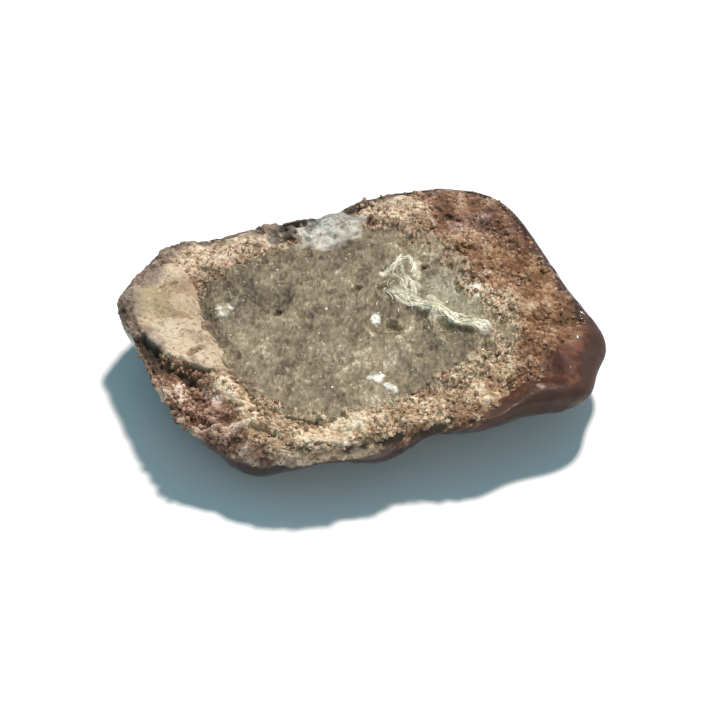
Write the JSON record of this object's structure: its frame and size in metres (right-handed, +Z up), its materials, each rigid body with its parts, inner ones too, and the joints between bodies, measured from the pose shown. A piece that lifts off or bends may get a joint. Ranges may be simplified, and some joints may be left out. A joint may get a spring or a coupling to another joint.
{
  "type": "chocolate covered ginger half",
  "caption": "Half of a chocolate-covered piece of candied ginger, cut face up: a lumpy dark coat with a crumbly rim round olive-tan fibrous ginger.",
  "frame": {"origin": "under the middle of the piece, at the height of the flat spot that it rests on", "axes": "+X along the piece, +Y to its back edge, +Z up out of the cut face"},
  "size_m": [0.0208, 0.018, 0.0041],
  "materials": {
    "chocolate": "dark reddish-brown chocolate, polished on the skin, matt and crumbly with peach sugar on the cut rim",
    "ginger": "olive-tan fibrous candied ginger, moist, with pale wet streaks"
  },
  "bodies": {
    "root": {"chocolate_coat": "chocolate", "ginger_core": "ginger"}
  },
  "joints": []
}
